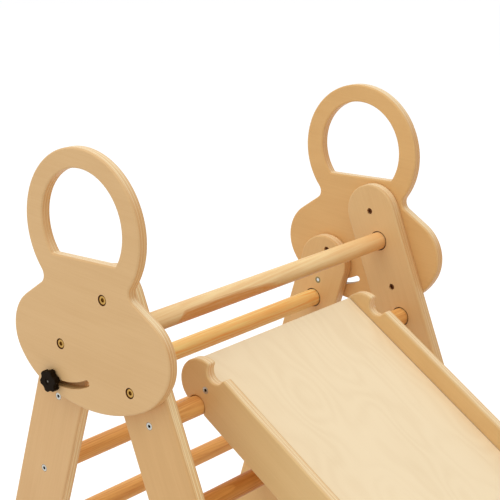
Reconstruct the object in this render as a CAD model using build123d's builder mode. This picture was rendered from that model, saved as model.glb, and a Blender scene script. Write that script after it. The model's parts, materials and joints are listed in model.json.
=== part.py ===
from build123d import *
from math import asin, atan2, cos, degrees, hypot, radians, sin, sqrt, tan
import os

os.makedirs("parts", exist_ok=True)

# Climbing triangle with a hook-on reversible ramp.
# Millimetres and degrees. The floor is z = 0, x runs along the rungs, and the ramp descends towards -y.

# Boards, dowels and the whole frame
ply = 18
leg_ply = 21
overall_width = 702
ring_height = 836
fold_gap = 0.3
fit_clearance = 0.05
cut_overrun = 5

# Side plate: a ring handle above a two-lobed body, all placed from one point inside the ring.
# The ring's outer circle lies a little below that point and its hole a little above it.
ring_radius = 122.3
ring_circle_drop = 2.8
hole_radius = 86.4
hole_circle_rise = 2.2
hole_floor_drop = 50
hole_corner_radius = 4
lobe_offset = 100
lobe_drop = 184
lobe_radius = 70.3
flank_angle = 33
shoulder_radius = 119
shoulder_start_angle = 31
shoulder_end_angle = 66
waist_radius = 15
plate_edge_round = 3

# Legs, set out from the upper plate bolt and from the pivot bolt
leg_width = 103
leg_edge_round = 3
foot_corner_radius = 8
front_lean = 19.4
front_bolt_setback = 37.2
front_bolt_drop = 105.4
front_bolt_spacing = 143.5
front_top_drop = 3
rear_lean = 19.7
pivot_setback = 63.6
pivot_drop = 193
pivot_below_top = 23.5

# Rungs, let into the inner faces of the legs
rung_radius = 16
rung_pitch = 144
front_rung_count = 5
front_rung_start = 56
rear_rung_count = 4
rear_rung_start = 106
recess_depth = 8
recess_clearance = 1.3
rung_end_chamfer = 1

# Countersunk hex-socket screws for the rungs and the ramp
screw_length = 50
screw_radius = 3
screw_head_radius = 5.75
screw_head_height = 3
screw_socket_flats = 5
screw_socket_depth = 2.5

# Connector bolts through plate and leg, with sleeve nuts
bolt_radius = 3
bolt_head_radius = 6.8
bolt_head_height = 2.5
bolt_head_sink = 1
bolt_recess_radius = 8.5
bolt_socket_flats = 6
bolt_socket_depth = 2
nut_barrel_radius = 4.5
nut_head_radius = 5.25
nut_head_height = 2.4
nut_head_sink = 3
nut_engagement = 8
nut_cap = 3
bolt_end_gap = 1
counterbore_clearance = 0.5

# Fold clamp: star knob, stud, washer and flanged insert
knob_reach = 66.8
knob_radius = 18.5
knob_body_height = 10
knob_face_round = 1.6
knob_lobe_count = 6
knob_rest_turn = 43
knob_scallop_radius = 9
knob_scallop_depth = 3
knob_lobe_round = 2.5
knob_hub_radius = 8
knob_hub_height = 1
knob_cap_radius = 5
knob_cap_depth = 0.8
knob_grip_depth = 6
stud_radius = 3
stud_tip_gap = 0.4
washer_radius = 9
washer_thickness = 1.5
washer_gap = 0.2
insert_radius = 5
insert_length = 13
insert_flange_radius = 6.3
insert_flange_height = 1.5
slot_width = 11
slot_radius = 125
slot_spare = 35
stop_gap = 0.3

# Ramp: two side panels with hook notches on both edges, a slide board and climbing cleats below it
ramp_length = 1035
ramp_width = 432
ramp_shift = -14
ramp_side_width = 79
ramp_edge_round = 2.5
hook_setback = 15
notch_inset = 3.5
notch_clearance = 0.4
notch_corner_radius = 4
board_setback = 1
board_end_round = 3
ramp_screw_count = 3
cleat_count = 6
cleat_width = 30
cleat_thickness = 12
cleat_side_gap = 8
cleat_round = 4
first_cleat_share = 0.12
last_cleat_share = 0.88

# Planes across the frame, measured from its middle
plate_outer = overall_width / 2
plate_inner = plate_outer - ply
front_leg_inner = plate_inner - leg_ply
rear_leg_outer = plate_inner - fold_gap
rear_leg_inner = rear_leg_outer - leg_ply
sides = {"left": -1, "right": 1}


def along(start, lean, distance):
    """Point at a distance down a leg that leans by the given angle towards +y."""
    y, z = start
    return y + distance * sin(radians(lean)), z - distance * cos(radians(lean))


def polar(centre, radius, angle):
    """Point on a circle in a drawing plane."""
    x, y = centre
    return x + radius * cos(radians(angle)), y + radius * sin(radians(angle))


# Ramp layout, with the hook's rung as its own origin: u runs down the slope and v stands square to it
ramp_end_radius = ramp_side_width / 2
notch_radius = rung_radius + notch_clearance
ramp_mid = ramp_end_radius - notch_inset
ramp_foot = ramp_length - ramp_side_width - hook_setback
hook_height = ring_height - front_bolt_drop - (front_rung_start + rung_pitch) * cos(radians(front_lean))
ramp_swing_radius = hypot(ramp_foot, ramp_mid)
ramp_offset_angle = degrees(atan2(ramp_mid, ramp_foot))
ramp_angle = ramp_offset_angle + degrees(asin((hook_height - ramp_end_radius) / ramp_swing_radius))

# The ring's place along y puts the middle of the whole footprint on the origin
hook_from_ring = -front_bolt_setback - (front_rung_start + rung_pitch) * sin(radians(front_lean))
ramp_foot_reach = ramp_foot * cos(radians(ramp_angle)) + ramp_mid * sin(radians(ramp_angle)) + ramp_end_radius
front_reach = hook_from_ring - ramp_foot_reach
rear_axis_reach = (ring_height - pivot_drop) * tan(radians(rear_lean))
rear_edge_reach = rear_axis_reach + leg_width / 2 / cos(radians(rear_lean))
rear_corner_loss = foot_corner_radius * (tan(radians(rear_lean)) + 1 / cos(radians(rear_lean)) - 1)
rear_reach = pivot_setback + rear_edge_reach - rear_corner_loss
ring_y = -(front_reach + rear_reach) / 2

# Centres of bolts, rungs and knobs as (y, z)
ring_centre = (ring_y, ring_height)
front_top = (ring_y - front_bolt_setback, ring_height - front_bolt_drop)
pivot = (ring_y + pivot_setback, ring_height - pivot_drop)
front_leg_top = along(front_top, -front_lean, front_top_drop)
rear_leg_top = along(pivot, rear_lean, leg_width / 2 - pivot_below_top)
knob_centre = along(pivot, rear_lean, knob_reach)
front_bolts = [front_top, along(front_top, -front_lean, front_bolt_spacing)]
front_rungs = []
for index in range(front_rung_count):
    front_rungs.append(along(front_top, -front_lean, front_rung_start + index * rung_pitch))
rear_rungs = []
for index in range(rear_rung_count):
    rear_rungs.append(along(pivot, rear_lean, rear_rung_start + index * rung_pitch))
hook_rung = front_rungs[1]

# Slot: it runs a little outside the stud's path at the open and folded ends and a little inside between
fold_angle = front_lean + rear_lean
slot_play = slot_width / 2 - stud_radius
half_chord = knob_reach * sin(radians(fold_angle / 2))
path_sagitta = knob_reach - knob_reach * cos(radians(fold_angle / 2))
slot_sagitta = slot_radius - sqrt(slot_radius ** 2 - half_chord ** 2)
slot_bias = (path_sagitta - slot_sagitta) / 2
slot_rise = slot_radius - knob_reach + slot_bias
slot_turn = (front_lean - rear_lean) / 2
slot_centre = along(pivot, slot_turn, -slot_rise)
slot_half_angle = degrees(asin(half_chord / slot_radius))
slot_open_angle = slot_half_angle - degrees((slot_play - stop_gap) / slot_radius)
slot_shut_angle = slot_half_angle + degrees(slot_spare / slot_radius)
slot_start_angle = -90 + slot_open_angle - slot_turn
slot_sweep_angle = -(slot_open_angle + slot_shut_angle)

# Plate body outline, drawn from the ring's centre
lobe_centre = (lobe_offset, -lobe_drop)
lobe_top_angle = 90 - flank_angle
flank_end = polar(lobe_centre, lobe_radius, lobe_top_angle)
flank_top = (0, flank_end[1] + flank_end[0] * tan(radians(flank_angle)))
shoulder_centre = polar(lobe_centre, lobe_radius - shoulder_radius, -shoulder_start_angle)
base_start = polar(shoulder_centre, shoulder_radius, -shoulder_end_angle)
base_radius = base_start[0] / cos(radians(shoulder_end_angle))
base_centre = (0, base_start[1] + base_radius * sin(radians(shoulder_end_angle)))
hole_floor_depth = hole_floor_drop + hole_circle_rise
hole_half_floor = sqrt(hole_radius ** 2 - hole_floor_depth ** 2)
hole_floor_angle = degrees(asin(hole_floor_depth / hole_radius))

# Depths inside the boards, measured from each plate's or leg's own faces
bolt_seat = plate_outer - bolt_head_sink - bolt_head_height
nut_tip = plate_inner + nut_engagement
nut_floor = front_leg_inner + nut_head_sink + nut_head_height + nut_cap
knob_seat = plate_outer + washer_gap + washer_thickness
knob_back = knob_seat + knob_hub_height
knob_front = knob_back + knob_body_height


def across(x, points, facing=1):
    """Planes square to x at the given (y, z) points."""
    return [Plane(origin=(x, y, z), x_dir=(0, 1, 0), z_dir=(facing, 0, 0)) for y, z in points]


def bore(points, radius, x_from, x_to):
    """Round holes along x between two planes, cut from the part being built."""
    with Locations(*across(min(x_from, x_to), points)):
        Cylinder(
            radius,
            abs(x_to - x_from),
            align=(Align.CENTER, Align.CENTER, Align.MIN),
            mode=Mode.SUBTRACT,
        )


def countersink(points, x_face, facing):
    """Screw seats in a face, widening towards the side the face looks to."""
    with Locations(*across(x_face, points, facing)):
        Cone(
            screw_radius + fit_clearance,
            screw_head_radius + fit_clearance,
            screw_head_height,
            align=(Align.CENTER, Align.CENTER, Align.MAX),
            mode=Mode.SUBTRACT,
        )


def save(builder, name):
    """Label a finished piece and write its file."""
    builder.part.label = name
    export_step(builder.part, f"parts/{name}.step")


def make_plate(side):
    """Side plate with its ring handle, bolt holes and fold slot."""
    ring_plane = Plane(origin=(side * plate_outer, *ring_centre), x_dir=(0, 1, 0), z_dir=(1, 0, 0))
    with BuildPart() as plate:
        with BuildSketch(ring_plane):
            with Locations((0, -ring_circle_drop)):
                Circle(ring_radius)
            with BuildLine():
                Line(flank_top, flank_end)
                CenterArc(lobe_centre, lobe_radius, lobe_top_angle, -lobe_top_angle - shoulder_start_angle)
                CenterArc(
                    shoulder_centre,
                    shoulder_radius,
                    -shoulder_start_angle,
                    shoulder_start_angle - shoulder_end_angle,
                )
                CenterArc(base_centre, base_radius, -shoulder_end_angle, shoulder_end_angle - 90)
                mirror(about=Plane.YZ)
            make_face()
            waist_corners = []
            for vertex in vertices().filter_by(lambda v: v.Y < -ring_radius / 2):
                if abs(hypot(vertex.X, vertex.Y + ring_circle_drop) - ring_radius) < fit_clearance:
                    waist_corners.append(vertex)
            fillet(waist_corners, waist_radius)
            with BuildLine():
                CenterArc((0, hole_circle_rise), hole_radius, -hole_floor_angle, 180 + 2 * hole_floor_angle)
                Line((-hole_half_floor, -hole_floor_drop), (hole_half_floor, -hole_floor_drop))
            make_face(mode=Mode.SUBTRACT)
            on_floor = [v for v in vertices() if abs(v.Y + hole_floor_drop) < fit_clearance]
            fillet([v for v in on_floor if hypot(v.X, v.Y) < ring_radius - fit_clearance], hole_corner_radius)
        extrude(amount=-side * ply)
        fillet(plate.faces().filter_by(Axis.X).edges(), plate_edge_round)
        with BuildSketch(Plane.YZ.offset(side * (plate_outer + cut_overrun))):
            SlotArc(slot_path, slot_width)
        extrude(amount=-side * (ply + 2 * cut_overrun), mode=Mode.SUBTRACT)
        bolts = front_bolts + [pivot]
        bore(bolts, bolt_radius + fit_clearance, side * plate_outer, side * plate_inner)
        bore(bolts, bolt_recess_radius, side * (plate_outer + cut_overrun), side * bolt_seat)
        bore(bolts, nut_barrel_radius + fit_clearance, side * (nut_tip + fold_gap), side * plate_inner)
    return plate


def make_leg(side, top, lean, outer, inner, rungs, nuts):
    """Leg with a round top, a foot cut level with the floor, rung recesses and bolt holes."""
    half = leg_width / 2
    rear_start = polar(top, half, lean)
    front_start = polar(top, half, lean + 180)
    rear_foot = (rear_start[0] + rear_start[1] * tan(radians(lean)), 0)
    front_foot = (front_start[0] + front_start[1] * tan(radians(lean)), 0)
    with BuildPart() as leg:
        with BuildSketch(Plane.YZ.offset(side * outer)):
            with BuildLine():
                Line(rear_foot, rear_start)
                CenterArc(top, half, lean, 180)
                Line(front_start, front_foot)
                Line(front_foot, rear_foot)
            make_face()
            fillet(vertices().group_by(Axis.Y)[0], foot_corner_radius)
        extrude(amount=side * (inner - outer))
        fillet(leg.faces().filter_by(Axis.X).edges(), leg_edge_round)
        bore(
            rungs,
            rung_radius + recess_clearance,
            side * (inner - cut_overrun),
            side * (inner + recess_depth),
        )
        bore(rungs, screw_radius + fit_clearance, side * inner, side * outer)
        countersink(rungs, side * outer, side)
        bore(nuts, nut_barrel_radius + fit_clearance, side * inner, side * outer)
        bore(
            nuts,
            nut_head_radius + counterbore_clearance,
            side * (inner - cut_overrun),
            side * (inner + nut_head_sink + nut_head_height),
        )
        if nuts == [pivot]:
            knob_hole = [knob_centre]
            bore(knob_hole, stud_radius + counterbore_clearance, side * inner, side * outer)
            bore(knob_hole, insert_radius, side * inner, side * (inner + insert_length))
            bore(knob_hole, insert_flange_radius, side * inner, side * (inner + insert_flange_height))
    return leg


def make_rung(centre, half_length):
    """Dowel with chamfered ends and a pilot hole in each end."""
    with BuildPart() as rung:
        with Locations(*across(0, [centre])):
            Cylinder(rung_radius, 2 * half_length)
        chamfer(rung.faces().filter_by(Axis.X).edges(), rung_end_chamfer)
        pilot = screw_length - leg_ply + recess_depth
        for side in sides.values():
            bore([centre], screw_radius + fit_clearance, side * half_length, side * (half_length - pilot))
    return rung


def make_screws(planes):
    """Countersunk hex-socket screws, with their heads flush with the planes."""
    with BuildPart() as screws:
        with Locations(*planes):
            Cone(
                screw_radius,
                screw_head_radius,
                screw_head_height,
                align=(Align.CENTER, Align.CENTER, Align.MAX),
            )
        with Locations(*[plane.offset(-screw_head_height) for plane in planes]):
            Cylinder(
                screw_radius,
                screw_length - screw_head_height,
                align=(Align.CENTER, Align.CENTER, Align.MAX),
            )
        with BuildSketch(*planes):
            RegularPolygon(screw_socket_flats / 2, 6, major_radius=False)
        extrude(amount=-screw_socket_depth, mode=Mode.SUBTRACT)
    return screws


def make_bolts(points):
    """Flat-headed connector bolts, one in each plate at every point."""
    with BuildPart() as bolts:
        for side in sides.values():
            heads = across(side * bolt_seat, points, side)
            with Locations(*heads):
                Cylinder(bolt_head_radius, bolt_head_height, align=(Align.CENTER, Align.CENTER, Align.MIN))
                Cylinder(
                    bolt_radius,
                    bolt_seat - nut_floor - bolt_end_gap,
                    align=(Align.CENTER, Align.CENTER, Align.MAX),
                )
            with BuildSketch(*[plane.offset(bolt_head_height) for plane in heads]):
                RegularPolygon(bolt_socket_flats / 2, 6, major_radius=False)
            extrude(amount=-bolt_socket_depth, mode=Mode.SUBTRACT)
    return bolts


def make_nuts(points, inner):
    """Sleeve nuts, one in each leg at every point, with their heads sunk in the leg's inner face."""
    with BuildPart() as nuts:
        for side in sides.values():
            faces_in = across(side * (inner + nut_head_sink), points, -side)
            with Locations(*faces_in):
                Cylinder(nut_head_radius, nut_head_height, align=(Align.CENTER, Align.CENTER, Align.MAX))
                Cylinder(
                    nut_barrel_radius,
                    nut_tip - inner - nut_head_sink,
                    align=(Align.CENTER, Align.CENTER, Align.MAX),
                )
            with BuildSketch(*faces_in):
                RegularPolygon(bolt_socket_flats / 2, 6, major_radius=False)
            extrude(amount=-bolt_socket_depth, mode=Mode.SUBTRACT)
            bore(points, bolt_radius + fit_clearance, side * nut_floor, side * nut_tip)
    return nuts


def make_knob(side):
    """Star knob with a scalloped rim, a short hub and a blind hole for its stud."""
    back = across(side * knob_back, [knob_centre], side)
    with BuildPart() as knob:
        with BuildSketch(*back):
            Circle(knob_radius)
            scallop_reach = knob_radius + knob_scallop_radius - knob_scallop_depth
            with PolarLocations(scallop_reach, knob_lobe_count, start_angle=knob_rest_turn):
                Circle(knob_scallop_radius, mode=Mode.SUBTRACT)
            fillet(vertices(), knob_lobe_round)
        extrude(amount=knob_body_height)
        fillet(knob.faces().sort_by(Axis.X)[-1 if side > 0 else 0].edges(), knob_face_round)
        with Locations(*back):
            Cylinder(knob_hub_radius, knob_hub_height, align=(Align.CENTER, Align.CENTER, Align.MAX))
        cap_floor = knob_front - knob_cap_depth
        bore([knob_centre], knob_cap_radius, side * cap_floor, side * (knob_front + cut_overrun))
        stud_end = knob_back + knob_grip_depth
        bore([knob_centre], stud_radius, side * (knob_seat - cut_overrun), side * stud_end)
    return knob


def make_stud(side):
    """Threaded stud that the knob turns, reaching through the slot into the leg's insert."""
    tip = rear_leg_inner + stud_tip_gap
    with BuildPart() as stud:
        with Locations(*across(side * tip, [knob_centre], side)):
            Cylinder(
                stud_radius,
                knob_back + knob_grip_depth - tip,
                align=(Align.CENTER, Align.CENTER, Align.MIN),
            )
    return stud


def make_washer(side):
    """Flat washer between the knob and the plate."""
    with BuildPart() as washer:
        with Locations(*across(side * (plate_outer + washer_gap), [knob_centre], side)):
            Cylinder(washer_radius, washer_thickness, align=(Align.CENTER, Align.CENTER, Align.MIN))
        bore([knob_centre], stud_radius + fit_clearance, side * plate_outer, side * knob_seat)
    return washer


def make_inserts():
    """Flanged threaded inserts, one in each rear leg."""
    with BuildPart() as inserts:
        for side in sides.values():
            with Locations(*across(side * rear_leg_inner, [knob_centre], side)):
                Cylinder(
                    insert_flange_radius,
                    insert_flange_height,
                    align=(Align.CENTER, Align.CENTER, Align.MIN),
                )
                Cylinder(insert_radius, insert_length, align=(Align.CENTER, Align.CENTER, Align.MIN))
            bore([knob_centre], stud_radius + fit_clearance, side * rear_leg_inner, side * rear_leg_outer)
    return inserts


def ramp_plane(x):
    """Drawing plane of the ramp: u down the slope, v square to it, looking to -x."""
    slope = (0, -cos(radians(ramp_angle)), -sin(radians(ramp_angle)))
    return Plane(origin=(x, *hook_rung), x_dir=slope, z_dir=(-1, 0, 0))


def on_ramp(u):
    """Point (y, z) on the middle line of the ramp's side panels."""
    y = hook_rung[0] - u * cos(radians(ramp_angle)) - ramp_mid * sin(radians(ramp_angle))
    z = hook_rung[1] - u * sin(radians(ramp_angle)) + ramp_mid * cos(radians(ramp_angle))
    return y, z


def make_ramp_side(side):
    """Ramp side panel with round ends and a hook notch in each edge."""
    outer = ramp_shift + side * ramp_width / 2
    with BuildPart() as panel:
        with BuildSketch(ramp_plane(outer)):
            with Locations(((ramp_foot - hook_setback) / 2, ramp_mid)):
                SlotOverall(ramp_length, ramp_side_width)
            with Locations(Location((0, 0, 0), (0, 0, -90)), Location((0, 2 * ramp_mid, 0), (0, 0, 90))):
                Circle(notch_radius, mode=Mode.SUBTRACT)
            corners = []
            for vertex in vertices():
                reach = min(hypot(vertex.X, vertex.Y), hypot(vertex.X, vertex.Y - 2 * ramp_mid))
                if abs(reach - notch_radius) < fit_clearance:
                    corners.append(vertex)
            fillet(corners, notch_corner_radius)
        extrude(amount=side * ply)
        fillet(panel.faces().filter_by(Axis.X).edges(), ramp_edge_round)
        bore(ramp_screw_points, screw_radius + fit_clearance, outer, outer - side * ply)
        countersink(ramp_screw_points, outer, side)
    return panel


def make_board():
    """Slide board between the side panels, with pilot holes in its edges."""
    end_reach = sqrt(ramp_end_radius ** 2 - (ply / 2) ** 2) - board_setback
    inner = ramp_width / 2 - ply
    with BuildPart() as board:
        with BuildSketch(ramp_plane(ramp_shift + inner)):
            with Locations(((ramp_foot - hook_setback) / 2, ramp_mid)):
                Rectangle(ramp_foot + hook_setback + 2 * end_reach, ply)
        extrude(amount=2 * inner)
        ends = board.edges().filter_by(Axis.X)
        fillet(ends, board_end_round)
        for side in sides.values():
            edge = ramp_shift + side * inner
            bore(ramp_screw_points, screw_radius + fit_clearance, edge, edge - side * (screw_length - ply))
    return board


def make_cleat(u):
    """Climbing strip across the underside of the slide board."""
    half = ramp_width / 2 - ply - cleat_side_gap
    with BuildPart() as cleat:
        with BuildSketch(ramp_plane(ramp_shift + half)):
            with Locations((u, ramp_mid - ply / 2 - cleat_thickness / 2)):
                Rectangle(cleat_width, cleat_thickness)
            fillet(vertices().group_by(Axis.Y)[0], cleat_round)
        extrude(amount=2 * half)
    return cleat


ramp_screw_points = []
for index in range(ramp_screw_count):
    ramp_screw_points.append(on_ramp(ramp_foot * index / (ramp_screw_count - 1)))

slot_path = CenterArc(slot_centre, slot_radius, slot_start_angle, slot_sweep_angle)

# Frame pieces on each side
for name, side in sides.items():
    save(make_plate(side), f"side_plate_{name}")
    front_leg = make_leg(
        side, front_leg_top, -front_lean, plate_inner, front_leg_inner, front_rungs, front_bolts
    )
    save(front_leg, f"front_leg_{name}")
    rear_leg = make_leg(
        side, rear_leg_top, rear_lean, rear_leg_outer, rear_leg_inner, rear_rungs, [pivot]
    )
    save(rear_leg, f"rear_leg_{name}")
    save(make_knob(side), f"knob_{name}")
    save(make_stud(side), f"knob_stud_{name}")
    save(make_washer(side), f"knob_washer_{name}")
    save(make_ramp_side(side), f"ramp_side_{name}")

# Rungs
for index, centre in enumerate(front_rungs):
    save(make_rung(centre, front_leg_inner + recess_depth), f"front_rung_{index + 1}")
for index, centre in enumerate(rear_rungs):
    save(make_rung(centre, rear_leg_inner + recess_depth), f"rear_rung_{index + 1}")

# Ramp board and cleats
save(make_board(), "slide_board")
for index in range(cleat_count):
    share = first_cleat_share + (last_cleat_share - first_cleat_share) * index / (cleat_count - 1)
    save(make_cleat(share * ramp_foot), f"ramp_cleat_{index + 1}")

# Fasteners
front_screw_planes = []
rear_screw_planes = []
ramp_screw_planes = []
for side in sides.values():
    front_screw_planes += across(side * plate_inner, front_rungs, side)
    rear_screw_planes += across(side * rear_leg_outer, rear_rungs, side)
    ramp_screw_planes += across(ramp_shift + side * ramp_width / 2, ramp_screw_points, side)
save(make_screws(front_screw_planes), "front_rung_screws")
save(make_screws(rear_screw_planes), "rear_rung_screws")
save(make_screws(ramp_screw_planes), "ramp_screws")
save(make_bolts(front_bolts), "front_leg_bolts")
save(make_nuts(front_bolts, front_leg_inner), "front_leg_nuts")
save(make_bolts([pivot]), "pivot_bolts")
save(make_nuts([pivot], rear_leg_inner), "pivot_nuts")
save(make_inserts(), "knob_inserts")

print("ramp angle", round(ramp_angle, 2), "fold angle", round(fold_angle, 2))
print("ring centre", [round(value, 2) for value in ring_centre])
print("hook rung", [round(value, 2) for value in hook_rung])
print("play of the stud in the slot", round(slot_play - slot_bias, 2))
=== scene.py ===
import json
from math import cos, radians, sin

import bpy
from mathutils import Matrix, Vector


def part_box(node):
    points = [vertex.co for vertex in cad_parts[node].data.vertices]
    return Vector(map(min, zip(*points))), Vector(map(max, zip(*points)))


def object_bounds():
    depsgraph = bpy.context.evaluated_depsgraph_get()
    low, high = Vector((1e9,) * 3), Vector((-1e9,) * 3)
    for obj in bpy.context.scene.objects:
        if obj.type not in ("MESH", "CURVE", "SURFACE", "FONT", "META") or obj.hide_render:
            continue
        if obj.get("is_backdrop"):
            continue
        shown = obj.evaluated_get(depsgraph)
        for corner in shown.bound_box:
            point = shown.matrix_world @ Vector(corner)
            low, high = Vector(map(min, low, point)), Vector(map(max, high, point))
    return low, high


# Climbing triangle with a hook-on ramp: finishes, floor, light and camera.
# Metres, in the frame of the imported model: x along the rungs, the ramp descends towards -y.

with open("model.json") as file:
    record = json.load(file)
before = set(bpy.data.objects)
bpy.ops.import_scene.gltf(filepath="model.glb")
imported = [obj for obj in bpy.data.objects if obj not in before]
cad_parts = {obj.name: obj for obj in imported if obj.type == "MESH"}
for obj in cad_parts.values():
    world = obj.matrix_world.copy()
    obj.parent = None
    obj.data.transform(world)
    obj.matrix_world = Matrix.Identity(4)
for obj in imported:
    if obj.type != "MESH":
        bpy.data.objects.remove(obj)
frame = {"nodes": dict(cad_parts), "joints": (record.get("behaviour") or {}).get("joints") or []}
cad_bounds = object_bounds()

nodes = frame["nodes"]
joints = {joint["name"]: joint for joint in frame["joints"]}

# Camera, solved from the photograph
camera_place = Vector((-1.6741, -1.2075, 1.3325))
camera_yaw = radians(41.557)
camera_pitch = radians(15.176)
camera_roll = radians(-1.956)
camera_lens = 100.37
camera_sensor = 36

# How many pieces of a kind the model has
front_rung_count = 5
rear_rung_count = 4
cleat_count = 6

# Boards: their thickness, and how far the middle of each stands from the middle of the frame or ramp
board_thickness = 0.018
leg_thickness = 0.021
plate_middle = 0.342
front_leg_middle = 0.3225
rear_leg_middle = 0.3222
panel_middle = 0.207
ramp_shift = -0.014

# The slide board's middle above the axis of the hooked rung, square to the ramp
slide_middle = 0.036

# Turns about x, in degrees, that bring each board's grain to the vertical
plate_turn = 84
front_leg_turn = 19.4
rear_leg_turn = -19.7
ramp_turn = -124.42

# Holes in the boards, with painted shade inside and round them: rung recesses and screw heads in the
# legs, bolt recesses in the plates, and a shadow line round the hooked rung
recess_rim = 0.0180
screw_rim = 0.0062
bolt_rim = 0.0087
hook_rim = 0.0170
upper_bolt = (0.2600, 0.7306)
lower_bolt = (0.2124, 0.5953)

# Fold slot in the plates: three places along it, and how near them the plies are darkened
slot_points = ((0.372, 0.579), (0.345, 0.576), (0.318, 0.580))
slot_reach = 0.020
slot_tint = (0.72, 0.66, 0.5, 1)

# Painted shade along the slide board's edges, where it meets the side panels: where it fades in and
# ends, measured back from its edge
joint_fade = 0.0028
joint_end = 0.0012
joint_share = 0.55

# Veneer: texture steps per metre across and along the grain, what each adds to the tone, and its draw
streak_scales = (380, 9, 1)
mottle_scales = (14, 5, 1)
pore_scales = (1500, 90, 1)
flame_waves = 60
streak_tone = 0.5
flame_tone = 0.06
mottle_tone = 0.5
pore_tone = 0.1
pore_band = (0.62, 0.75)
contour_draw = 7
mottle_draw = 11
pore_draw = 3
face_band = (0.2, 0.85)
face_tint = (0.93, 0.90, 0.86)
veneer_roughness = (0.42, 0.12)

# Flames of ordinary faces, and of the slide board, whose figure is wilder and less streaky
plain_swirl = (7.0, 1.7, 1)
slide_swirl = (13.0, 5.0, 1)
slide_flame = 1.5
slide_straight = 0.5

# Plies on the edge: fibres through and along the board, runs of darker end grain, glue lines and gaps
ply_count = 7
ply_margin = 0.001
edge_fibre_scales = (2600, 130, 130)
edge_fibre_band = (0.3, 0.7)
edge_fibre_tint = (0.96, 0.91, 0.85, 1)
run_scales = (3.7, 11, 11)
cross_band = (0.2, 0.6)
cross_tint = (0.91, 0.78, 0.66, 1)
seam_band = (0.38, 0.48)
seam_share = 0.52
gap_band = (0.74, 0.77)
# Painted light: edges are paler the more they face up
upward_light_band = (0.2, 0.9)

# Dowels: texture steps per metre along x, y and z, and what each adds to the tone
rung_radius = 0.016
ring_spacing = 0.0032
ring_rise = (0.1, 0.85)
ring_fall = (0.9, 1.0)
wander_scales = (6, 60, 60)
wander_reach = 0.006
fibre_scales = (30, 1300, 1300)
blotch_scales = (9, 45, 45)
vein_scales = (3, 210, 210)
vein_band = (0.35, 0.7)
fibre_tone = 0.45
vein_tone = 0.3
blotch_tone = 0.4
wood_band = (0.2, 1.2)
dowel_roughness = (0.4, 0.15)

# Painted shade on the dowels' lower side: its direction from straight down, its fade and its tint
underside_shade_tilt = radians(24)
underside_shade_band = (0.0, 1.2)
underside_shade_tint = (0.62, 0.47, 0.32, 1)

# Top rung: a dark tongue low on its front, from the left end to the right one, and painted shade with
# warm bounce light at its far end, in the corner by the leg
patch_left = -0.206
patch_left_length = 0.022
patch_right = -0.100
patch_right_length = 0.135
patch_top = -0.1
patch_band = (-0.08, 0.26)
patch_waves = 21
wave_share = (0.84, 0.16)
wisp_scales = (16, 420, 420)
wisp_reach = 0.55
patch_fibre = 0.3
patch_streak = 0.8
leg_corner_span = (0.08, 0.36)
leg_corner_share = (0.4, 0.6)

# Metal: fine unevenness, painted shade below each kind's outer face, in sockets and sunk heads, and
# painted shade on a bolt's head inside and outside its bright ring
metal_scales = (900, 900, 900)
metal_band = (0.3, 0.7)
metal_shade = (0.8, 0.8, 0.8)
metal_swing = 0.2
bolt_face = 0.35
front_screw_face = 0.333
rear_screw_face = 0.3327
ramp_screw_face = 0.216
recess_shade_start = 0.0002
recess_shade_full = 0.0006
recess_roughness = 0.3
recess_shade_tint = (0.12, 0.10, 0.08)
bolt_ring = (0.0032, 0.0040, 0.0058, 0.0066)
bolt_head_shade_tint = (0.46, 0.35, 0.18)

# Knobs: moulded grain, and a pale dot painted at the centre for the stud's tip and its highlight
plastic_scales = (1600, 1600, 1600)
tip_radius = 0.0018
tip_core = 0.8

# Light and floor
world_light = 0.72
key_power = 138.0
key_direction = (-0.35, 0.15, 1.0)
key_distance = 6.0
key_size = 6.0
floor_half = 12.0
floor_paint = 0.8
floor_glow = 0.42
object_middle = Vector((0, 0.1, 0.5))
white = (1, 1, 1, 1)

# Bump that a height of one gives, before a finish's own strength
bump_height = 0.0004

# Where the hooked rung's axis runs; the ramp's own texture starts there
hook = Vector(joints["ramp_tilt"]["pos_m"])


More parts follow.
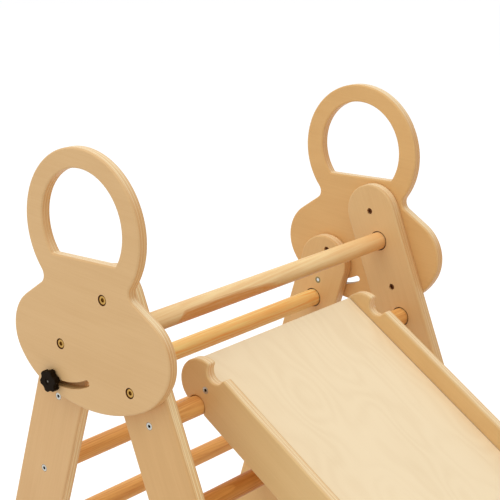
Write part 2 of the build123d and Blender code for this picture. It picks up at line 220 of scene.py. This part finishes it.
class Shader:
    """Adds nodes to one material or world, so that a finish reads as a few lines of arithmetic."""

    def __init__(self, owner):
        self.owner = owner
        owner.use_nodes = True
        self.tree = owner.node_tree
        self.tree.nodes.clear()

    def node(self, kind, inputs, output=0, **settings):
        """Makes a node, links or sets its inputs, and gives one of its outputs."""
        made = self.tree.nodes.new(kind)
        for key, value in settings.items():
            setattr(made, key, value)
        for key, value in inputs.items():
            if isinstance(value, bpy.types.NodeSocket):
                self.tree.links.new(value, made.inputs[key])
            else:
                made.inputs[key].default_value = value
        return made.outputs[output] if made.outputs else None

    def math(self, operation, first, second=0.0, third=0.0):
        return self.node("ShaderNodeMath", {0: first, 1: second, 2: third}, operation=operation)

    def length(self, first, second):
        """Length of the hypotenuse over two sides."""
        squares = self.math("MULTIPLY_ADD", first, first, self.math("MULTIPLY", second, second))
        return self.math("SQRT", squares)

    def mix(self, share, first, second, blend="MIX"):
        inputs = {0: share, 6: first, 7: second}
        return self.node("ShaderNodeMix", inputs, output=2, data_type="RGBA", blend_type=blend)

    def shade(self, share, colour, tint):
        """The colour, darkened by a tint where the share says so."""
        return self.mix(share, colour, self.mix(1.0, colour, tint, "MULTIPLY"))

    def vector(self, x, y, z):
        return self.node("ShaderNodeCombineXYZ", {0: x, 1: y, 2: z})

    def split(self, vector):
        """The x, y and z of a vector."""
        parts = self.tree.nodes.new("ShaderNodeSeparateXYZ")
        self.tree.links.new(vector, parts.inputs[0])
        return list(parts.outputs)

    def noise(self, parts, scales, shifts=(0.0, 0.0, 0.0), detail=2.0, roughness=0.5):
        """Noise at the place that three parts make, each times its scale and moved on by its shift."""
        rows = zip(parts, scales, shifts)
        place = self.vector(*[self.math("MULTIPLY_ADD", *row) for row in rows])
        inputs = {"Vector": place, "Scale": 1.0, "Detail": detail, "Roughness": roughness}
        return self.node("ShaderNodeTexNoise", inputs)

    def bands(self, value, low, high):
        """0 below low, 1 above high and smooth between."""
        inputs = {0: value, 1: low, 2: high}
        return self.node("ShaderNodeMapRange", inputs, interpolation_type="SMOOTHSTEP")

    def nearest(self, y, z, points):
        """Distance from the nearest of some axes that run along x, given as (y, z) points."""
        nearest = 1.0
        position = self.vector(0.0, y, z)
        for point in points:
            inputs = {0: position, 1: (0, *point)}
            reach = self.node("ShaderNodeVectorMath", inputs, output=1, operation="DISTANCE")
            nearest = self.math("MINIMUM", nearest, reach)
        return nearest

    def place(self, origin=(0, 0, 0), turn=0.0):
        """Object coordinates from an origin, turned about x by so many degrees, as x, y and z."""
        position = self.tree.nodes.new("ShaderNodeTexCoord").outputs["Object"]
        position = self.node("ShaderNodeVectorMath", {0: position, 1: origin}, operation="SUBTRACT")
        inputs = {"Vector": position, "Angle": radians(turn)}
        return self.split(self.node("ShaderNodeVectorRotate", inputs, rotation_type="X_AXIS"))

    def seen(self):
        """1 where the camera looks, straight or by something shiny or clear, and 0 for other light."""
        path = self.tree.nodes.new("ShaderNodeLightPath").outputs
        direct = self.math("MAXIMUM", path["Is Camera Ray"], path["Is Glossy Ray"])
        return self.math("MAXIMUM", direct, path["Is Transmission Ray"])

    def finish(self, height, bump, **inputs):
        """Joins the surface shader, with a bump from the height, to the output; gives the material."""
        inputs = {key.replace("_", " "): value for key, value in inputs.items()}
        relief = {"Strength": bump, "Distance": bump_height, "Height": height}
        inputs["Normal"] = self.node("ShaderNodeBump", relief)
        shader = self.node("ShaderNodeBsdfPrincipled", inputs)
        self.node("ShaderNodeOutputMaterial", {"Surface": shader})
        return self.owner


def new_material(name):
    return Shader(bpy.data.materials.new(name))


def rgb(red, green, blue):
    """A colour written as it shows on a screen, from 0 to 255, made linear."""
    linear = [(value / 255 + 0.055) / 1.055 for value in (red, green, blue)]
    return (*[value ** 2.4 for value in linear], 1)


def tinted(colour, tint):
    """A linear colour with each channel scaled by a tint."""
    return (*[part * share for part, share in zip(colour, tint)], 1)


def veneer_figure(s, across, along, seed, flame, straight, swirl):
    """Figure of a rotary-cut face: fine streaks along the grain, broad flames and soft mottling."""
    place = (across, along, 0.0)
    streaks = s.noise(place, streak_scales, (0.0, 0.0, seed), detail=3)
    contour = s.noise(place, swirl, (0.0, 0.0, seed + contour_draw), detail=1)
    flames = s.math("SINE", s.math("MULTIPLY", contour, flame_waves))
    mottle = s.noise(place, mottle_scales, (0.0, 0.0, seed + mottle_draw))
    pores = s.noise(place, pore_scales, (0.0, 0.0, seed + pore_draw), detail=1)
    tone = s.math("MULTIPLY", flames, flame_tone * flame)
    tone = s.math("MULTIPLY_ADD", streaks, streak_tone * straight, tone)
    tone = s.math("MULTIPLY_ADD", mottle, mottle_tone, tone)
    return s.math("MULTIPLY_ADD", s.bands(pores, *pore_band), pore_tone, tone), streaks


def ply_edge(s, depth, ply, parts, colours, seed):
    """Plies on the edge: pale long grain and dark end grain by turns, thin glue lines and a few gaps;
    up-facing edges are painted paler than side edges, as painted light.
    """
    side_edge, top_edge_lit = colours
    crossed = s.math("PINGPONG", ply, 1)
    fibres = s.noise(parts, edge_fibre_scales, detail=3, roughness=0.65)
    runs = s.noise((ply, *parts[1:]), run_scales, (seed, 0.0, 0.0))
    normal = s.tree.nodes.new("ShaderNodeTexCoord").outputs["Normal"]
    upward = s.split(normal)[2]
    # Painted light: the edge colour goes paler as the edge faces up
    edge = s.mix(s.bands(upward, *upward_light_band), side_edge, top_edge_lit)
    edge = s.shade(s.bands(fibres, *edge_fibre_band), edge, edge_fibre_tint)
    edge = s.shade(s.math("MULTIPLY", crossed, s.bands(runs, *cross_band)), edge, cross_tint)
    seam = s.math("ABSOLUTE", s.math("SUBTRACT", s.math("FRACT", depth), 0.5))
    edge = s.mix(s.math("MULTIPLY", s.bands(seam, *seam_band), seam_share), edge, seam_colour)
    return s.mix(s.math("MULTIPLY", crossed, s.bands(runs, *gap_band)), edge, gap_colour)


def plywood(
    name,
    face,
    edges,
    middle,
    thickness=board_thickness,
    turn=0.0,
    origin=(0, 0, 0),
    flat=False,
    seed=0.0,
    flame=1.0,
    straight=1.0,
    swirl=plain_swirl,
    holes=(),
    rims=(0.0, 0.0),
    slot=(),
    joint=0.0,
):
    """Lacquered birch plywood as a solid: veneer on its faces and plies through its thickness.

    The board stands upright in the plane of y and z, or lies flat across x. Holes get painted shade
    out to their rims, which differ on its inner and outer side. A joint is how far from its middle its
    two lines of painted shade run, where the board meets the side panels.
    """
    s = new_material(name)
    x, y, z = s.place(origin, turn)
    if flat:
        through, across, along = y, x, z
    else:
        through, across, along = s.math("ABSOLUTE", x), y, z
    depth = s.math("DIVIDE", s.math("SUBTRACT", through, middle - thickness / 2), thickness)
    depth = s.math("MINIMUM", s.math("MAXIMUM", depth, ply_margin), 1 - ply_margin)
    depth = s.math("MULTIPLY", depth, ply_count)
    ply = s.math("FLOOR", depth)
    outermost = s.math("ABSOLUTE", s.math("SUBTRACT", ply, ply_count // 2))
    outermost = s.math("GREATER_THAN", outermost, ply_count // 2 - 0.5)

    tone, streaks = veneer_figure(s, across, along, seed, flame, straight, swirl)
    face_colour = s.mix(s.bands(tone, *face_band), face, tinted(face, face_tint))
    edge = ply_edge(s, depth, ply, (through, across, along), edges, seed)

    level_x, level_y, level_z = s.place()
    if slot:
        share = s.math("LESS_THAN", s.nearest(level_y, level_z, slot), slot_reach)
        edge = s.shade(share, edge, slot_tint)
    colour = s.mix(outermost, edge, face_colour)
    # Painted shade in and round the holes, out to a rim on each side
    if holes:
        inner_rim, outer_rim = rims
        outside = s.math("GREATER_THAN", s.math("ABSOLUTE", level_x), middle)
        rim = s.math("MULTIPLY_ADD", outside, outer_rim - inner_rim, inner_rim)
        share = s.math("LESS_THAN", s.nearest(level_y, level_z, holes), rim)
        colour = s.mix(share, colour, painted_gap_shade)
    # Painted shade in the joints where the slide board meets the side panels
    if joint:
        reach = s.math("ABSOLUTE", s.math("SUBTRACT", level_x, ramp_shift))
        share = s.bands(reach, joint - joint_fade, joint - joint_end)
        colour = s.mix(s.math("MULTIPLY", share, joint_share), colour, painted_gap_shade)
    smooth, swing = veneer_roughness
    rough = s.math("MULTIPLY_ADD", streaks, swing, smooth)
    return s.finish(tone, bump=0.05, Base_Color=colour, Roughness=rough, IOR=1.4)


def lowness(s, y, z):
    """How far towards the lower, shaded side a place on a rung lies, in radii from its axis."""
    low = s.math("ADD", s.math("MULTIPLY", y, -sin(underside_shade_tilt)), s.math("MULTIPLY", z, -cos(underside_shade_tilt)))
    return s.math("DIVIDE", low, rung_radius)


def dowel(name, centre, pith, lean, wood, rings=0.4, underside_shade=0.0, seed=0.0, patch=None):
    """Oiled softwood dowel cut from rings about an axis a little askew, so its figure tapers out."""
    s = new_material(name)
    early, late = wood
    x, along_y, along_z = s.place(centre)
    y = s.math("SUBTRACT", along_y, s.math("MULTIPLY_ADD", x, lean[0], pith[0]))
    z = s.math("SUBTRACT", along_z, s.math("MULTIPLY_ADD", x, lean[1], pith[1]))
    place = (x, y, z)
    shifts = (0.0, 0.0, seed)
    radius = s.math("MULTIPLY_ADD", s.noise(place, wander_scales, shifts), wander_reach, s.length(y, z))
    ring = s.math("FRACT", s.math("DIVIDE", radius, ring_spacing))
    ring = s.math("SUBTRACT", s.bands(ring, *ring_rise), s.bands(ring, *ring_fall))
    fibres = s.noise(place, fibre_scales, shifts, detail=3)
    blotches = s.noise(place, blotch_scales)
    veins = s.bands(s.noise(place, vein_scales, shifts), *vein_band)
    tone = s.math("MULTIPLY_ADD", fibres, fibre_tone, s.math("MULTIPLY", ring, rings))
    tone = s.math("MULTIPLY_ADD", veins, vein_tone, tone)
    tone = s.math("MULTIPLY_ADD", blotches, blotch_tone, tone)
    colour = s.mix(s.bands(tone, *wood_band), early, late)
    # Painted shade: darker towards the lower front side
    low = s.math("MULTIPLY_ADD", blotches, blotch_tone, lowness(s, along_y, along_z))
    colour = s.shade(s.math("MULTIPLY", s.bands(low, *underside_shade_band), underside_shade), colour, underside_shade_tint)
    if patch:
        colour = patch(s, x, along_y, along_z, fibres, colour)
    smooth, swing = dowel_roughness
    rough = s.math("MULTIPLY_ADD", fibres, swing, smooth)
    return s.finish(tone, bump=0.06, Base_Color=colour, Roughness=rough, IOR=1.3)


def top_rung_patch(s, x, y, z, fibres, colour):
    """Darker tongue, round at its left end and drawn out into streaks at its right; painted shade and
    warm bounce light at the far end, by the leg.
    """
    left = s.math("DIVIDE", s.math("SUBTRACT", patch_left, x), patch_left_length)
    left = s.math("MAXIMUM", left, 0.0)
    right = s.math("DIVIDE", s.math("SUBTRACT", x, patch_right), patch_right_length)
    right = s.math("MAXIMUM", right, 0.0)
    edge = s.math("MULTIPLY_ADD", left, left, s.math("MULTIPLY_ADD", right, right, patch_top))
    wisps = s.noise((x, y, z), wisp_scales)
    ragged = s.math("MULTIPLY_ADD", s.math("SUBTRACT", wisps, 0.5), wisp_reach, lowness(s, y, z))
    depth = s.math("SUBTRACT", ragged, edge)
    base, swing = wave_share
    streaks = s.math("MULTIPLY_ADD", s.math("SINE", s.math("MULTIPLY", depth, patch_waves)), swing, base)
    strength = s.math("MULTIPLY_ADD", fibres, patch_fibre, s.math("MULTIPLY", streaks, patch_streak))
    share = s.math("MULTIPLY", s.bands(depth, *patch_band), strength)
    base, swing = leg_corner_share
    # Painted shade and bounce light at the far end, by the leg
    shade_near_leg = s.math("MULTIPLY", s.bands(x, *leg_corner_span), s.math("MULTIPLY_ADD", wisps, swing, base))
    return s.mix(shade_near_leg, s.mix(share, colour, patch_colour), leg_corner_shade_colour)


def metal(name, colour, roughness, face=None, middle=0.0, ring=None, axes=()):
    """Plated steel with an uneven sheen, painted shade below its outer face and beside its bright ring.
    """
    s = new_material(name)
    x, y, z = s.place((middle, 0, 0))
    fine = s.noise((x, y, z), metal_scales, detail=3)
    rough = s.math("MULTIPLY_ADD", fine, metal_swing, roughness - metal_swing / 2)
    tint = s.mix(s.bands(fine, *metal_band), colour, tinted(colour, metal_shade))
    if face:
        # Painted shade on what lies below the outer face: sockets and sunk head rims
        recess_shade = s.bands(s.math("ABSOLUTE", x), face - recess_shade_start, face - recess_shade_full)
        tint = s.mix(recess_shade, tint, tinted(colour, recess_shade_tint))
        rough = s.math("MULTIPLY_ADD", recess_shade, recess_roughness, rough)
    if ring:
        # Painted shade on a bolt's socket and rim, inside and outside its bright ring
        reach = s.nearest(y, z, axes)
        bright = s.math("SUBTRACT", s.bands(reach, *ring[:2]), s.bands(reach, *ring[2:]))
        tint = s.mix(bright, tinted(colour, bolt_head_shade_tint), tint)
    return s.finish(fine, bump=0.06, Base_Color=tint, Metallic=1.0, Roughness=rough)


def plastic(name, centre):
    """Black moulded plastic with a fine spark-eroded texture, and a pale dot at its centre, painted for
    the stud's tip and its highlight.
    """
    s = new_material(name)
    x, y, z = s.place(centre)
    grain = s.noise((x, y, z), plastic_scales)
    # Painted highlight: a pale dot at the centre, standing for the stud's tip
    tip = s.math("SUBTRACT", 1.0, s.bands(s.length(y, z), tip_radius * tip_core, tip_radius))
    tint = s.mix(tip, s.mix(grain, knob_black, knob_worn), tip_highlight_grey)
    return s.finish(grain, bump=0.25, Base_Color=tint, Roughness=0.42, Specular_IOR_Level=0.03)


def box_middle(node):
    low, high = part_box(node)
    return (low + high) / 2


def dress(node, material):
    """Gives every material slot of a carried-over node the finish."""
    for slot in nodes[node].material_slots:
        slot.material = material


# Boards: each side has its own tones, each matched to how that side shows, so part of their difference
# is painted light and shade
slide_face = rgb(253, 231, 192)
painted_top_edge_light = rgb(255, 232, 188)
# Painted shade for holes, recesses and the joints along the slide board
painted_gap_shade = rgb(96, 48, 12)
seam_colour = rgb(164, 112, 62)
gap_colour = rgb(92, 58, 30)
tones = {
    "left": {
        "plate": rgb(229, 188, 133),
        "plate_edge": rgb(233, 190, 132),
        "front_leg": rgb(227, 181, 121),
        "rear_leg": rgb(229, 185, 129),
        "leg_edge": rgb(255, 226, 172),
        "panel": rgb(233, 196, 137),
        "panel_edge": rgb(240, 201, 148),
    },
    "right": {
        "plate": rgb(230, 184, 120),
        "plate_edge": rgb(231, 185, 126),
        "front_leg": rgb(229, 189, 132),
        "rear_leg": rgb(230, 187, 126),
        "leg_edge": rgb(232, 194, 138),
        "panel": rgb(229, 191, 133),
        "panel_edge": rgb(240, 201, 148),
    },
}
bolts = [upper_bolt, lower_bolt, tuple(joints["rear_fold"]["pos_m"][1:])]
front_rungs = [f"front_rung_{count + 1}" for count in range(front_rung_count)]
rear_rungs = [f"rear_rung_{count + 1}" for count in range(rear_rung_count)]
for name, side in (("left", -1), ("right", 1)):
    tone = tones[name]
    plate = plywood(
        f"plate_plywood_{name}",
        tone["plate"],
        (tone["plate_edge"], painted_top_edge_light),
        plate_middle,
        turn=plate_turn,
        seed=side * 2.3,
        holes=bolts,
        rims=(0.0, bolt_rim),
        slot=slot_points,
    )
    dress(f"side_plate_{name}", plate)
    legs = (
        ("front_leg", front_leg_middle, front_leg_turn, 4.3, front_rungs),
        ("rear_leg", rear_leg_middle, rear_leg_turn, 7.7, rear_rungs),
    )
    for kind, middle, turn, seed, rungs in legs:
        leg = plywood(
            f"{kind}_plywood_{name}",
            tone[kind],
            (tone["leg_edge"], painted_top_edge_light),
            middle,
            thickness=leg_thickness,
            turn=turn,
            seed=side * seed,
            holes=[tuple(box_middle(rung))[1:] for rung in rungs],
            rims=(recess_rim, screw_rim),
        )
        dress(f"{kind}_{name}", leg)
    panel = plywood(
        f"ramp_plywood_{name}",
        tone["panel"],
        (tone["panel_edge"], painted_top_edge_light),
        panel_middle,
        turn=ramp_turn,
        origin=(ramp_shift, hook.y, hook.z),
        seed=side * 3.9,
        holes=[(hook.y, hook.z)],
        rims=(hook_rim, hook_rim),
    )
    dress(f"ramp_side_{name}", panel)

low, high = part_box("slide_board")
slide = plywood(
    "board_plywood",
    slide_face,
    (tones["left"]["panel_edge"], painted_top_edge_light),
    slide_middle,
    turn=ramp_turn,
    origin=hook,
    flat=True,
    seed=1.7,
    flame=slide_flame,
    straight=slide_straight,
    swirl=slide_swirl,
    joint=(high.x - low.x) / 2,
)
dress("slide_board", slide)

# Dowels: the place and lean of each one's pith, its wood, and how strong its rings and its painted
# underside shade are
pale_wood = (rgb(253, 216, 160), rgb(236, 188, 132))
tan_wood = (rgb(255, 224, 166), rgb(240, 190, 130))
golden_wood = (rgb(255, 226, 150), rgb(250, 178, 94))
warm_wood = (rgb(252, 196, 116), rgb(218, 144, 74))
# Darker wood for the third front rung: painted shade of the ramp above it
ramp_shaded_wood = (rgb(230, 162, 82), rgb(184, 108, 40))
patch_colour = rgb(206, 132, 60)
leg_corner_shade_colour = rgb(240, 178, 108)
dowels = {
    "front_rung_1": ((0.020, -0.030), (0.030, 0.045), tan_wood, 0.12, 1.0),
    "front_rung_2": ((-0.045, 0.010), (0.010, -0.012), warm_wood, 0.22, 0.1),
    "front_rung_3": ((0.030, -0.040), (-0.012, 0.020), ramp_shaded_wood, 0.22, 0.1),
    "front_rung_4": ((-0.020, -0.050), (0.020, 0.010), pale_wood, 0.22, 0.3),
    "front_rung_5": ((0.050, 0.020), (0.015, -0.020), warm_wood, 0.22, 0.1),
    "rear_rung_1": ((0.035, -0.030), (0.006, 0.008), golden_wood, 0.34, 0.12),
    "rear_rung_2": ((-0.030, -0.040), (0.014, -0.010), warm_wood, 0.22, 0.1),
    "rear_rung_3": ((0.040, 0.010), (-0.018, 0.012), warm_wood, 0.22, 0.1),
    "rear_rung_4": ((-0.050, 0.015), (0.010, 0.016), pale_wood, 0.22, 0.3),
}
for count, (name, row) in enumerate(dowels.items()):
    patch = top_rung_patch if name == "front_rung_1" else None
    dress(name, dowel(f"dowel_{name}", box_middle(name), *row, seed=count * 1.3, patch=patch))

# Cleats under the slide board, of plain pale wood
cleat_pith = (0.04, -0.03)
cleat_lean = (0.01, 0.008)
for count in range(1, cleat_count + 1):
    name = f"ramp_cleat_{count}"
    seed = count * 2.1
    cleat = dowel(f"cleat_{count}_wood", box_middle(name), cleat_pith, cleat_lean, pale_wood, seed=seed)
    dress(name, cleat)

# Fasteners and knobs
brass = metal(
    "brass_plate",
    rgb(196, 156, 84),
    roughness=0.36,
    face=bolt_face,
    ring=bolt_ring,
    axes=bolts,
)
bronze = metal("dark_nut", rgb(120, 78, 48), roughness=0.45)
worn_zinc = metal("worn_zinc", rgb(150, 136, 96), roughness=0.5)
zinc = metal("zinc_plate", rgb(214, 216, 218), roughness=0.34)
screw_zinc = rgb(196, 196, 188)
knob_black = rgb(16, 9, 3)
knob_worn = rgb(36, 25, 11)
tip_highlight_grey = rgb(132, 128, 120)
screws = (
    ("front_rung_screws", front_screw_face, 0.0),
    ("rear_rung_screws", rear_screw_face, 0.0),
    ("ramp_screws", ramp_screw_face, ramp_shift),
)
for name, face, middle in screws:
    dress(name, metal(f"{name}_zinc", screw_zinc, roughness=0.38, face=face, middle=middle))
for name in ("front_leg", "pivot"):
    dress(f"{name}_bolts", brass)
    dress(f"{name}_nuts", bronze)
dress("knob_inserts", worn_zinc)
for name in ("left", "right"):
    dress(f"knob_{name}", plastic(f"knob_plastic_{name}", joints[f"knob_turn_{name}"]["pos_m"]))
    dress(f"knob_stud_{name}", zinc)
    dress(f"knob_washer_{name}", zinc)

# Floor: pale and plain, with the object's shadow, and white where the camera or a shiny part sees it
s = new_material("floor_paint")
paint = s.node("ShaderNodeBsdfDiffuse", {"Color": (floor_paint, floor_paint, floor_paint, 1)})
shine = s.math("MULTIPLY", s.seen(), floor_glow)
glow = s.node("ShaderNodeEmission", {"Color": white, "Strength": shine})
lit = s.node("ShaderNodeAddShader", {0: paint, 1: glow})
s.node("ShaderNodeOutputMaterial", {"Surface": lit})

floor_mesh = bpy.data.meshes.new("floor")
corners = [(x * floor_half, y * floor_half, 0) for x, y in ((-1, -1), (1, -1), (1, 1), (-1, 1))]
floor_mesh.from_pydata(corners, [], [(0, 1, 2, 3)])
floor_mesh.materials.append(s.owner)
floor = bpy.data.objects.new("floor", floor_mesh)
bpy.context.scene.collection.objects.link(floor)
floor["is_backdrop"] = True

# World: even studio light, seen as white
world = bpy.data.worlds.new("studio")
s = Shader(world)
level = s.math("MULTIPLY_ADD", s.seen(), 1 - world_light, world_light)
sky = s.node("ShaderNodeBackground", {"Color": white, "Strength": level})
s.node("ShaderNodeOutputWorld", {"Surface": sky})
bpy.context.scene.world = world

# Key light: a large square lamp above, a little to the camera's side
lamp = bpy.data.lights.new("key", "AREA")
lamp.size = key_size
lamp.energy = key_power
key = bpy.data.objects.new("key", lamp)
towards = Vector(key_direction).normalized()
key.location = object_middle + towards * key_distance
key.rotation_euler = towards.to_track_quat("Z", "Y").to_euler()
bpy.context.scene.collection.objects.link(key)

# Camera
level_forward = Vector((cos(camera_yaw), sin(camera_yaw), 0))
forward = level_forward * cos(camera_pitch) - Vector((0, 0, sin(camera_pitch)))
level_right = forward.cross(Vector((0, 0, 1))).normalized()
level_up = level_right.cross(forward)
right = cos(camera_roll) * level_right + sin(camera_roll) * level_up
up = cos(camera_roll) * level_up - sin(camera_roll) * level_right
lens = bpy.data.cameras.new("camera")
lens.lens = camera_lens
lens.sensor_width = camera_sensor
camera = bpy.data.objects.new("camera", lens)
turn = Matrix((right, up, -forward)).transposed().to_4x4()
camera.matrix_world = Matrix.Translation(camera_place) @ turn
bpy.context.scene.collection.objects.link(camera)
bpy.context.scene.camera = camera
bpy.context.scene.view_settings.view_transform = "Standard"

bounds = {"cad": cad_bounds, "visual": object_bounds()}
bounds = {name: [list(corner) for corner in corners] for name, corners in bounds.items()}
